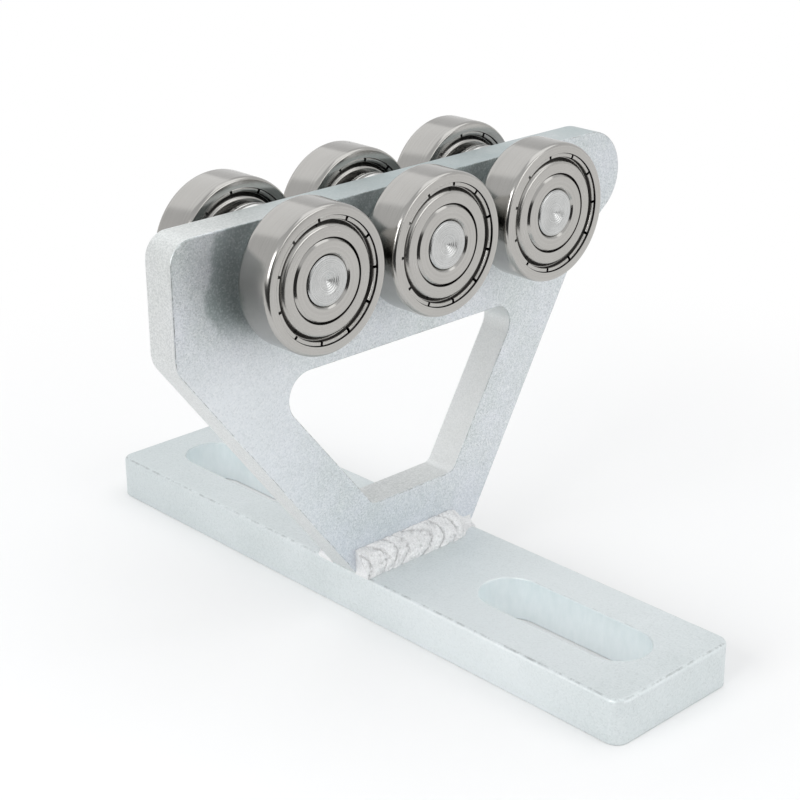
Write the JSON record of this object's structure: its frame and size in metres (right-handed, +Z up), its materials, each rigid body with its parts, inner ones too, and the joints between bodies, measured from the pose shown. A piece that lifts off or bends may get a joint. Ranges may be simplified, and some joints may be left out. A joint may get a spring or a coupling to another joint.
{
  "type": "rail trolley",
  "caption": "Rail trolley: ball-bearing rollers on axles through a windowed upright plate with a round nose, welded across a flat base plate with long bolt slots.",
  "frame": {"origin": "centre of the base plate's underside", "axes": "+X along the base plate's length, +Y along the rail towards the upright's rounded nose, +Z up from the base plate towards the rollers"},
  "size_m": [0.16, 0.1271, 0.0987],
  "materials": {
    "base_plate": "zinc plated, satin, faintly mottled",
    "upright_plate": "zinc plated over a sand-rough surface, fine speckle",
    "weld_metal": "rippled, rough and whitish under the zinc",
    "axle_steel": "turned, bright",
    "spacer_steel": "turned, bright",
    "bearing_steel": "ground and polished",
    "shield_steel": "pressed sheet, bright",
    "cage_steel": "pressed sheet, dull"
  },
  "bodies": {
    "frame": {"base_plate": "base_plate", "upright_plate": "upright_plate", "weld_bead_right": "weld_metal", "weld_bead_left": "weld_metal", "rear_axle": "axle_steel", "middle_axle": "axle_steel", "front_axle": "axle_steel", "rear_left_spacer": "spacer_steel", "rear_right_spacer": "spacer_steel", "middle_left_spacer": "spacer_steel", "middle_right_spacer": "spacer_steel", "front_left_spacer": "spacer_steel", "front_right_spacer": "spacer_steel", "rear_left_inner_ring": "bearing_steel", "rear_right_inner_ring": "bearing_steel", "middle_left_inner_ring": "bearing_steel", "middle_right_inner_ring": "bearing_steel", "front_left_inner_ring": "bearing_steel", "front_right_inner_ring": "bearing_steel"},
    "rear_left_roller": {"rear_left_outer_ring": "bearing_steel", "rear_left_shield_outer": "shield_steel", "rear_left_shield_inner": "shield_steel"},
    "rear_left_ball_train": {"rear_left_cage": "cage_steel", "rear_left_balls": "bearing_steel"},
    "rear_right_roller": {"rear_right_outer_ring": "bearing_steel", "rear_right_shield_outer": "shield_steel", "rear_right_shield_inner": "shield_steel"},
    "rear_right_ball_train": {"rear_right_cage": "cage_steel", "rear_right_balls": "bearing_steel"},
    "middle_left_roller": {"middle_left_outer_ring": "bearing_steel", "middle_left_shield_outer": "shield_steel", "middle_left_shield_inner": "shield_steel"},
    "middle_left_ball_train": {"middle_left_cage": "cage_steel", "middle_left_balls": "bearing_steel"},
    "middle_right_roller": {"middle_right_outer_ring": "bearing_steel", "middle_right_shield_outer": "shield_steel", "middle_right_shield_inner": "shield_steel"},
    "middle_right_ball_train": {"middle_right_cage": "cage_steel", "middle_right_balls": "bearing_steel"},
    "front_left_roller": {"front_left_outer_ring": "bearing_steel", "front_left_shield_outer": "shield_steel", "front_left_shield_inner": "shield_steel"},
    "front_left_ball_train": {"front_left_cage": "cage_steel", "front_left_balls": "bearing_steel"},
    "front_right_roller": {"front_right_outer_ring": "bearing_steel", "front_right_shield_outer": "shield_steel", "front_right_shield_inner": "shield_steel"},
    "front_right_ball_train": {"front_right_cage": "cage_steel", "front_right_balls": "bearing_steel"}
  },
  "joints": [
    {"name": "rear_left_roller_spin", "type": "hinge", "parent": "frame", "child": "rear_left_roller", "pos_m": [-0.0106, -0.0356, 0.0837], "axis": [1, 0, 0], "continuous": true},
    {"name": "rear_left_cage_spin", "type": "hinge", "parent": "frame", "child": "rear_left_ball_train", "pos_m": [-0.0106, -0.0356, 0.0837], "axis": [1, 0, 0], "continuous": true},
    {"name": "rear_right_roller_spin", "type": "hinge", "parent": "frame", "child": "rear_right_roller", "pos_m": [0.0154, -0.0356, 0.0837], "axis": [1, 0, 0], "continuous": true},
    {"name": "rear_right_cage_spin", "type": "hinge", "parent": "frame", "child": "rear_right_ball_train", "pos_m": [0.0154, -0.0356, 0.0837], "axis": [1, 0, 0], "continuous": true},
    {"name": "middle_left_roller_spin", "type": "hinge", "parent": "frame", "child": "middle_left_roller", "pos_m": [-0.0106, -0.0036, 0.0837], "axis": [1, 0, 0], "continuous": true},
    {"name": "middle_left_cage_spin", "type": "hinge", "parent": "frame", "child": "middle_left_ball_train", "pos_m": [-0.0106, -0.0036, 0.0837], "axis": [1, 0, 0], "continuous": true},
    {"name": "middle_right_roller_spin", "type": "hinge", "parent": "frame", "child": "middle_right_roller", "pos_m": [0.0154, -0.0036, 0.0837], "axis": [1, 0, 0], "continuous": true},
    {"name": "middle_right_cage_spin", "type": "hinge", "parent": "frame", "child": "middle_right_ball_train", "pos_m": [0.0154, -0.0036, 0.0837], "axis": [1, 0, 0], "continuous": true},
    {"name": "front_left_roller_spin", "type": "hinge", "parent": "frame", "child": "front_left_roller", "pos_m": [-0.0106, 0.0284, 0.0837], "axis": [1, 0, 0], "continuous": true},
    {"name": "front_left_cage_spin", "type": "hinge", "parent": "frame", "child": "front_left_ball_train", "pos_m": [-0.0106, 0.0284, 0.0837], "axis": [1, 0, 0], "continuous": true},
    {"name": "front_right_roller_spin", "type": "hinge", "parent": "frame", "child": "front_right_roller", "pos_m": [0.0154, 0.0284, 0.0837], "axis": [1, 0, 0], "continuous": true},
    {"name": "front_right_cage_spin", "type": "hinge", "parent": "frame", "child": "front_right_ball_train", "pos_m": [0.0154, 0.0284, 0.0837], "axis": [1, 0, 0], "continuous": true}
  ],
  "couplings": [
    {"joint": "rear_left_cage_spin", "follows": "rear_left_roller_spin", "ratio": 0.61905},
    {"joint": "rear_right_cage_spin", "follows": "rear_right_roller_spin", "ratio": 0.61905},
    {"joint": "middle_left_cage_spin", "follows": "middle_left_roller_spin", "ratio": 0.61905},
    {"joint": "middle_right_cage_spin", "follows": "middle_right_roller_spin", "ratio": 0.61905},
    {"joint": "front_left_cage_spin", "follows": "front_left_roller_spin", "ratio": 0.61905},
    {"joint": "front_right_cage_spin", "follows": "front_right_roller_spin", "ratio": 0.61905}
  ]
}
